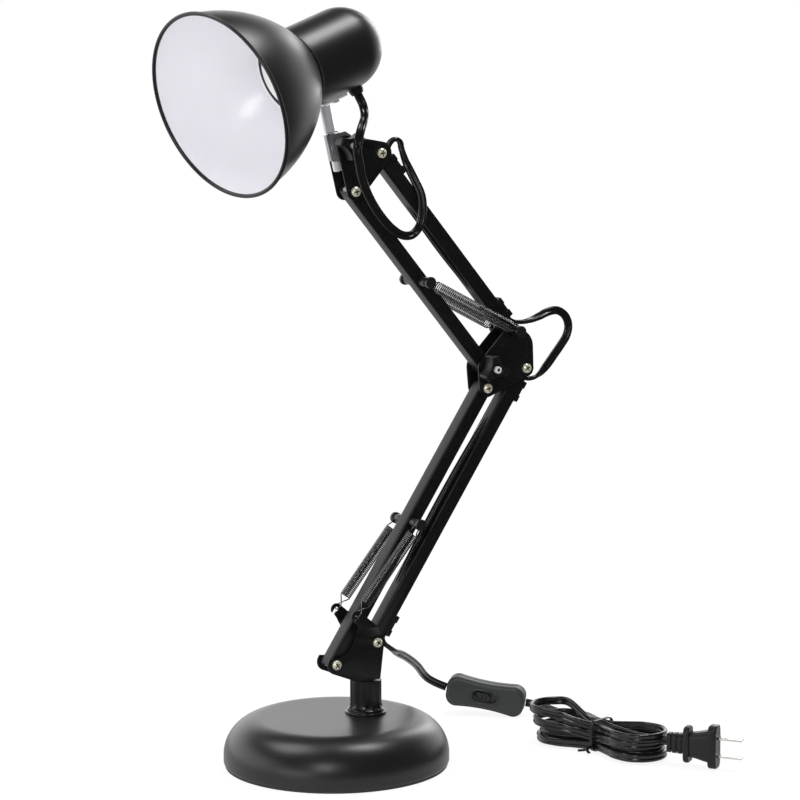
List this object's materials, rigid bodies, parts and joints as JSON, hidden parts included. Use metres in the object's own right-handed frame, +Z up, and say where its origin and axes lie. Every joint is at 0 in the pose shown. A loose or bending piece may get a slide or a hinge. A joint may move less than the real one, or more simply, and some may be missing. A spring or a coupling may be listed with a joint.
{
  "type": "swing arm desk lamp",
  "caption": "Swing arm desk lamp: weighted round base, two sprung parallelogram arms with clamp knobs, swivelling bell shade on a chrome stem, cord with inline switch and plug.",
  "frame": {"origin": "centre of the base's underside, on the table", "axes": "+Z up; the arms lie in the XZ plane, the head reaches towards -X and the cord leaves towards +X"},
  "size_m": [0.3577, 0.2568, 0.5309],
  "materials": {
    "black_enamel": "satin black powder coat",
    "black_plastic": "moulded black plastic",
    "gloss_plastic": "glossy moulded black plastic",
    "cord_black": "flexible black cord sheath",
    "foam": "black foam rubber",
    "chrome": "bright chrome plate",
    "zinc": "yellowish zinc plate",
    "spring_steel": "blackened spring steel",
    "steel": "plain steel",
    "cast_iron": "rough cast iron",
    "nylon": "natural nylon",
    "brass": "rolled brass",
    "bakelite": "dark phenolic"
  },
  "bodies": {
    "base": {"base_shell": "black_enamel", "base_weight": "cast_iron", "foot_pad": "foam", "socket_bush": "gloss_plastic", "socket_nut": "steel", "main_cord": "cord_black", "switch_cord": "cord_black", "cord_hank": "cord_black", "hank_tie": "black_plastic", "switch_front": "black_plastic", "switch_back": "black_plastic", "plug_body": "black_plastic", "plug_blades": "zinc"},
    "base_bracket": {"base_bracket": "black_enamel", "swivel_pin": "steel", "base_pivot_screws": "zinc", "base_pivot_nuts": "zinc"},
    "lower_rear_bar": {"lower_rear_bar": "black_enamel", "lower_rear_bushes": "nylon", "lower_cord_clips": "black_plastic", "lower_arm_cord": "cord_black"},
    "lower_front_bar": {"lower_front_bar": "black_enamel", "lower_front_bushes": "nylon", "lower_spring_stud": "black_enamel", "lower_spring_near": "spring_steel", "lower_spring_far": "spring_steel"},
    "elbow_bracket": {"elbow_near_plate": "black_enamel", "elbow_far_plate": "black_enamel", "elbow_pivot_screws": "zinc", "elbow_pivot_nuts": "zinc", "elbow_clamp_bolt": "chrome", "elbow_spring_pin": "black_enamel", "elbow_cord": "cord_black"},
    "elbow_knob": {"elbow_knob": "black_plastic"},
    "upper_rear_bar": {"upper_rear_bar": "black_enamel", "upper_rear_bushes": "nylon", "upper_cord_clips": "black_plastic", "upper_arm_cord": "cord_black"},
    "upper_front_bar": {"upper_front_bar": "black_enamel", "upper_front_bushes": "nylon", "upper_spring_stud": "black_enamel", "upper_spring_near": "spring_steel", "upper_spring_far": "spring_steel"},
    "head_bracket": {"head_near_plate": "black_enamel", "head_far_plate": "black_enamel", "head_pivot_screws": "zinc", "head_pivot_nuts": "zinc", "head_clamp_bolt": "chrome", "head_cord": "cord_black"},
    "head_knob": {"head_knob": "black_plastic"},
    "stem_clamp": {"stem_clamp": "chrome"},
    "head": {"head_stem": "chrome", "stem_strap": "chrome", "strap_screw": "zinc", "lamp_cup": "black_enamel", "shade": "black_enamel", "lampholder": "bakelite", "screw_shell": "brass", "cord_gland": "black_plastic"},
    "switch_slider": {"switch_slider": "black_plastic"}
  },
  "joints": [
    {"name": "arm_swivel", "type": "hinge", "parent": "base", "child": "base_bracket", "pos_m": [0.024, 0, 0.046], "axis": [0, 0, 1], "range_deg": [-170, 170], "deforming": ["main_cord"]},
    {"name": "lower_arm", "type": "hinge", "parent": "base_bracket", "child": "lower_rear_bar", "pos_m": [0.029, 0, 0.0855], "axis": [0, -1, 0], "range_deg": [-14, 64]},
    {"name": "lower_front_link", "type": "hinge", "parent": "base_bracket", "child": "lower_front_bar", "pos_m": [-0.004, 0, 0.073], "axis": [0, -1, 0], "range_deg": [-14, 64], "deforming": ["lower_spring_near", "lower_spring_far"]},
    {"name": "elbow_level", "type": "hinge", "parent": "lower_rear_bar", "child": "elbow_bracket", "pos_m": [0.15385, 0, 0.27341], "axis": [0, -1, 0], "range_deg": [-64, 14], "deforming": ["elbow_cord"]},
    {"name": "upper_arm", "type": "hinge", "parent": "elbow_bracket", "child": "upper_rear_bar", "pos_m": [0.14284, 0, 0.30141], "axis": [0, -1, 0], "range_deg": [-45, 50]},
    {"name": "upper_front_link", "type": "hinge", "parent": "elbow_bracket", "child": "upper_front_bar", "pos_m": [0.12205, 0, 0.27531], "axis": [0, -1, 0], "range_deg": [-45, 50], "deforming": ["upper_spring_near", "upper_spring_far"]},
    {"name": "head_level", "type": "hinge", "parent": "upper_rear_bar", "child": "head_bracket", "pos_m": [0.03434, 0, 0.43072], "axis": [0, -1, 0], "range_deg": [-50, 45], "deforming": ["head_cord"]},
    {"name": "head_tilt", "type": "hinge", "parent": "head_bracket", "child": "stem_clamp", "pos_m": [0.00644, 0, 0.43651], "axis": [0, -1, 0], "range_deg": [-35, 70]},
    {"name": "head_swivel", "type": "hinge", "parent": "stem_clamp", "child": "head", "pos_m": [0.00068, 0, 0.43524], "axis": [-0.2164, 0, 0.9763], "range_deg": [-90, 90]},
    {"name": "elbow_knob_turn", "type": "hinge", "parent": "elbow_bracket", "child": "elbow_knob", "pos_m": [0.12205, -0.0145, 0.27531], "axis": [0, -1, 0], "range_deg": [-60, 120]},
    {"name": "head_knob_turn", "type": "hinge", "parent": "head_bracket", "child": "head_knob", "pos_m": [0.00644, -0.0145, 0.43651], "axis": [0, -1, 0], "range_deg": [-60, 120]},
    {"name": "switch_slide", "type": "slide", "parent": "base", "child": "switch_slider", "axis": [0.7566, -0.6349, -0.1564], "range_m": [0, 0.004]}
  ],
  "couplings": [
    {"joint": "lower_front_link", "follows": "lower_arm", "ratio": 1},
    {"joint": "elbow_level", "follows": "lower_arm", "ratio": -1},
    {"joint": "upper_front_link", "follows": "upper_arm", "ratio": 1},
    {"joint": "head_level", "follows": "upper_arm", "ratio": -1}
  ]
}
